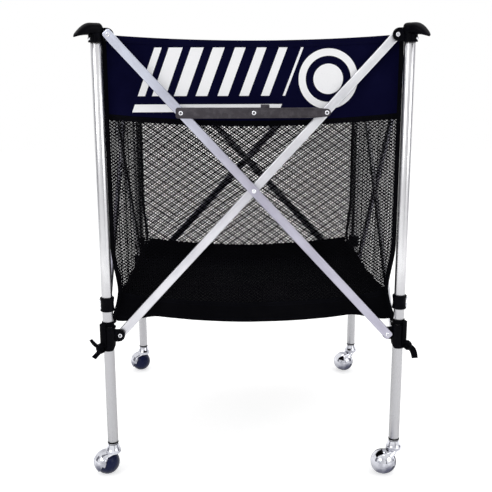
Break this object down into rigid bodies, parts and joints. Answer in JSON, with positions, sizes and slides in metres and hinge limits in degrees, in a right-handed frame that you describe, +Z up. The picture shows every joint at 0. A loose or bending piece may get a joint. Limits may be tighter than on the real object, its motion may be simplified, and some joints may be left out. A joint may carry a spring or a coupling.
{
  "type": "folding ball cart",
  "caption": "Folding ball cart: scissor-sided aluminium frame on swivel ball casters, holding an open bag with a cloth top band, net walls and a cloth floor.",
  "frame": {"origin": "on the floor, under the middle of the whole cart's box", "axes": "+Z up, the front face with the lock strut faces -Y, +X to the right seen from the front"},
  "size_m": [0.6832, 0.6846, 0.9369],
  "materials": {
    "tube": "bright anodised",
    "bar": "satin anodised",
    "moulding": "semi-gloss black",
    "chrome": "polished",
    "wheel": "satin",
    "rivet": "domed, satin",
    "link": "dark, semi-gloss",
    "band": "coated weave",
    "net": "knotless mesh",
    "floor_cloth": "plain weave",
    "tape": "woven tape"
  },
  "bodies": {
    "root": {"leg_tube_front_left": "tube", "corner_cap_front_left": "moulding", "stop_collar_front_left": "moulding", "caster_socket_front_left": "moulding", "bag_tie_front_left": "tape", "bag_band_front": "band", "bag_net_front": "net", "bag_band_left": "band", "bag_net_left": "net"},
    "leg_front_right": {"leg_tube_front_right": "tube", "corner_cap_front_right": "moulding", "stop_collar_front_right": "moulding", "caster_socket_front_right": "moulding", "bag_tie_front_right": "tape", "bag_band_right": "band", "bag_net_right": "net"},
    "leg_back_right": {"leg_tube_back_right": "tube", "corner_cap_back_right": "moulding", "stop_collar_back_right": "moulding", "caster_socket_back_right": "moulding", "bag_tie_back_right": "tape"},
    "leg_back_left": {"leg_tube_back_left": "tube", "corner_cap_back_left": "moulding", "stop_collar_back_left": "moulding", "caster_socket_back_left": "moulding", "bag_tie_back_left": "tape", "bag_band_back": "band", "bag_net_back": "net"},
    "bar_outer_front": {"scissor_outer_front": "bar", "crossing_rivet_front": "rivet"},
    "bar_inner_front": {"scissor_inner_front": "bar"},
    "bar_outer_right": {"scissor_outer_right": "bar", "crossing_rivet_right": "rivet"},
    "bar_inner_right": {"scissor_inner_right": "bar"},
    "bar_outer_back": {"scissor_outer_back": "bar", "crossing_rivet_back": "rivet"},
    "bar_inner_back": {"scissor_inner_back": "bar"},
    "bar_outer_left": {"scissor_outer_left": "bar", "crossing_rivet_left": "rivet"},
    "bar_inner_left": {"scissor_inner_left": "bar"},
    "slider_front_left": {"slider_front_left": "moulding"},
    "slider_front_right": {"slider_front_right": "moulding"},
    "slider_back_right": {"slider_back_right": "moulding"},
    "slider_back_left": {"slider_back_left": "moulding"},
    "link_left": {"lock_link_left": "link", "lock_strut_rivet": "rivet"},
    "link_right": {"lock_link_right": "link"},
    "floor_front": {"bag_floor_front": "floor_cloth"},
    "floor_back": {"bag_floor_back": "floor_cloth"},
    "caster_front_left": {"caster_hood_front_left": "chrome"},
    "wheel_front_left": {"ball_wheel_front_left": "wheel"},
    "caster_front_right": {"caster_hood_front_right": "chrome"},
    "wheel_front_right": {"ball_wheel_front_right": "wheel"},
    "caster_back_right": {"caster_hood_back_right": "chrome"},
    "wheel_back_right": {"ball_wheel_back_right": "wheel"},
    "caster_back_left": {"caster_hood_back_left": "chrome"},
    "wheel_back_left": {"ball_wheel_back_left": "wheel"}
  },
  "joints": [
    {"name": "fold", "type": "hinge", "parent": "root", "child": "bar_outer_front", "pos_m": [-0.27268, -0.30398, 0.91493], "axis": [0, 1, 0], "range_deg": [0, 35], "deforming": ["bag_band_front", "bag_band_right", "bag_band_back", "bag_band_left", "bag_net_front", "bag_net_right", "bag_net_back", "bag_net_left", "bag_floor_front", "bag_floor_back"]},
    {"name": "front_crossing", "type": "hinge", "parent": "bar_outer_front", "child": "bar_inner_front", "pos_m": [0.00332, -0.30398, 0.61543], "axis": [0, 1, 0], "range_deg": [-70.5, 0]},
    {"name": "front_right_cap", "type": "hinge", "parent": "bar_inner_front", "child": "leg_front_right", "pos_m": [0.27932, -0.30398, 0.91493], "axis": [0, 1, 0], "range_deg": [0, 35.5]},
    {"name": "front_right_slider", "type": "hinge", "parent": "bar_outer_front", "child": "slider_front_right", "pos_m": [0.27932, -0.30398, 0.31593], "axis": [0, 1, 0], "range_deg": [-35.5, 0]},
    {"name": "front_left_slider", "type": "hinge", "parent": "bar_inner_front", "child": "slider_front_left", "pos_m": [-0.27268, -0.30398, 0.31593], "axis": [0, 1, 0], "range_deg": [0, 35.5]},
    {"name": "lock_left", "type": "hinge", "parent": "bar_outer_front", "child": "link_left", "pos_m": [-0.13767, -0.30398, 0.76843], "axis": [0, 1, 0], "range_deg": [-114.15, 0]},
    {"name": "lock_centre", "type": "hinge", "parent": "link_left", "child": "link_right", "pos_m": [0.00332, -0.30398, 0.76843], "axis": [0, 1, 0], "range_deg": [0, 157.81]},
    {"name": "left_cap", "type": "hinge", "parent": "root", "child": "bar_inner_left", "pos_m": [-0.29668, -0.27998, 0.91493], "axis": [-1, 0, 0], "range_deg": [0, 35.5]},
    {"name": "left_crossing", "type": "hinge", "parent": "bar_inner_left", "child": "bar_outer_left", "pos_m": [-0.29668, -0.00398, 0.61543], "axis": [-1, 0, 0], "range_deg": [-70.5, 0]},
    {"name": "back_left_cap", "type": "hinge", "parent": "bar_outer_left", "child": "leg_back_left", "pos_m": [-0.29668, 0.27202, 0.91493], "axis": [-1, 0, 0], "range_deg": [0, 35.5]},
    {"name": "back_left_slider", "type": "hinge", "parent": "bar_inner_left", "child": "slider_back_left", "pos_m": [-0.29668, 0.27202, 0.31593], "axis": [-1, 0, 0], "range_deg": [-35.5, 0]},
    {"name": "right_cap", "type": "hinge", "parent": "leg_front_right", "child": "bar_outer_right", "pos_m": [0.30332, -0.27998, 0.91493], "axis": [-1, 0, 0], "range_deg": [0, 35.5]},
    {"name": "right_crossing", "type": "hinge", "parent": "bar_outer_right", "child": "bar_inner_right", "pos_m": [0.30332, -0.00398, 0.61543], "axis": [-1, 0, 0], "range_deg": [-70.5, 0]},
    {"name": "back_right_cap", "type": "hinge", "parent": "bar_inner_right", "child": "leg_back_right", "pos_m": [0.30332, 0.27202, 0.91493], "axis": [-1, 0, 0], "range_deg": [0, 35.5]},
    {"name": "back_right_slider", "type": "hinge", "parent": "bar_outer_right", "child": "slider_back_right", "pos_m": [0.30332, 0.27202, 0.31593], "axis": [-1, 0, 0], "range_deg": [-35.5, 0]},
    {"name": "back_cap", "type": "hinge", "parent": "leg_back_left", "child": "bar_inner_back", "pos_m": [-0.27268, 0.29602, 0.91493], "axis": [0, 1, 0], "range_deg": [0, 35.5]},
    {"name": "back_crossing", "type": "hinge", "parent": "bar_inner_back", "child": "bar_outer_back", "pos_m": [0.00332, 0.29602, 0.61543], "axis": [0, 1, 0], "range_deg": [-70.5, 0]},
    {"name": "floor_front_fold", "type": "hinge", "parent": "root", "child": "floor_front", "pos_m": [0.00332, -0.28648, 0.33918], "axis": [1, 0, 0], "range_deg": [-78.2, 0]},
    {"name": "floor_back_fold", "type": "hinge", "parent": "leg_back_left", "child": "floor_back", "pos_m": [0.00332, 0.27852, 0.33918], "axis": [1, 0, 0], "range_deg": [0, 78.2]},
    {"name": "swivel_front_left", "type": "hinge", "parent": "root", "child": "caster_front_left", "pos_m": [-0.29668, -0.30398, 0.06993], "axis": [0, 0, 1], "continuous": true},
    {"name": "roll_front_left", "type": "hinge", "parent": "caster_front_left", "child": "wheel_front_left", "pos_m": [-0.31241, -0.29163, 0.02593], "axis": [-0.9077, -0.2432, 0.342], "continuous": true},
    {"name": "swivel_front_right", "type": "hinge", "parent": "leg_front_right", "child": "caster_front_right", "pos_m": [0.30332, -0.30398, 0.06993], "axis": [0, 0, 1], "continuous": true},
    {"name": "roll_front_right", "type": "hinge", "parent": "caster_front_right", "child": "wheel_front_right", "pos_m": [0.28347, -0.30637, 0.02593], "axis": [-0.4698, -0.8138, 0.342], "continuous": true},
    {"name": "swivel_back_right", "type": "hinge", "parent": "leg_back_right", "child": "caster_back_right", "pos_m": [0.30332, 0.29602, 0.06993], "axis": [0, 0, 1], "continuous": true},
    {"name": "roll_back_right", "type": "hinge", "parent": "caster_back_right", "child": "wheel_back_right", "pos_m": [0.28375, 0.2919, 0.02593], "axis": [-0.3971, -0.8517, 0.342], "continuous": true},
    {"name": "swivel_back_left", "type": "hinge", "parent": "leg_back_left", "child": "caster_back_left", "pos_m": [-0.29668, 0.29602, 0.06993], "axis": [0, 0, 1], "continuous": true},
    {"name": "roll_back_left", "type": "hinge", "parent": "caster_back_left", "child": "wheel_back_left", "pos_m": [-0.30724, 0.313, 0.02593], "axis": [-0.9361, 0.0819, 0.342], "continuous": true}
  ],
  "couplings": [
    {"joint": "front_crossing", "follows": "fold", "ratio": -2},
    {"joint": "front_right_cap", "follows": "fold", "ratio": 1},
    {"joint": "front_right_slider", "follows": "fold", "ratio": -1},
    {"joint": "front_left_slider", "follows": "fold", "ratio": 1},
    {"joint": "lock_left", "follows": "fold", "ratio": -3.2472},
    {"joint": "lock_centre", "follows": "fold", "ratio": 4.4945},
    {"joint": "left_cap", "follows": "fold", "ratio": 1},
    {"joint": "left_crossing", "follows": "fold", "ratio": -2},
    {"joint": "back_left_cap", "follows": "fold", "ratio": 1},
    {"joint": "back_left_slider", "follows": "fold", "ratio": -1},
    {"joint": "right_cap", "follows": "fold", "ratio": 1},
    {"joint": "right_crossing", "follows": "fold", "ratio": -2},
    {"joint": "back_right_cap", "follows": "fold", "ratio": 1},
    {"joint": "back_right_slider", "follows": "fold", "ratio": -1},
    {"joint": "back_cap", "follows": "fold", "ratio": 1},
    {"joint": "back_crossing", "follows": "fold", "ratio": -2},
    {"joint": "floor_front_fold", "follows": "fold", "ratio": -2.22},
    {"joint": "floor_back_fold", "follows": "fold", "ratio": 2.22}
  ]
}
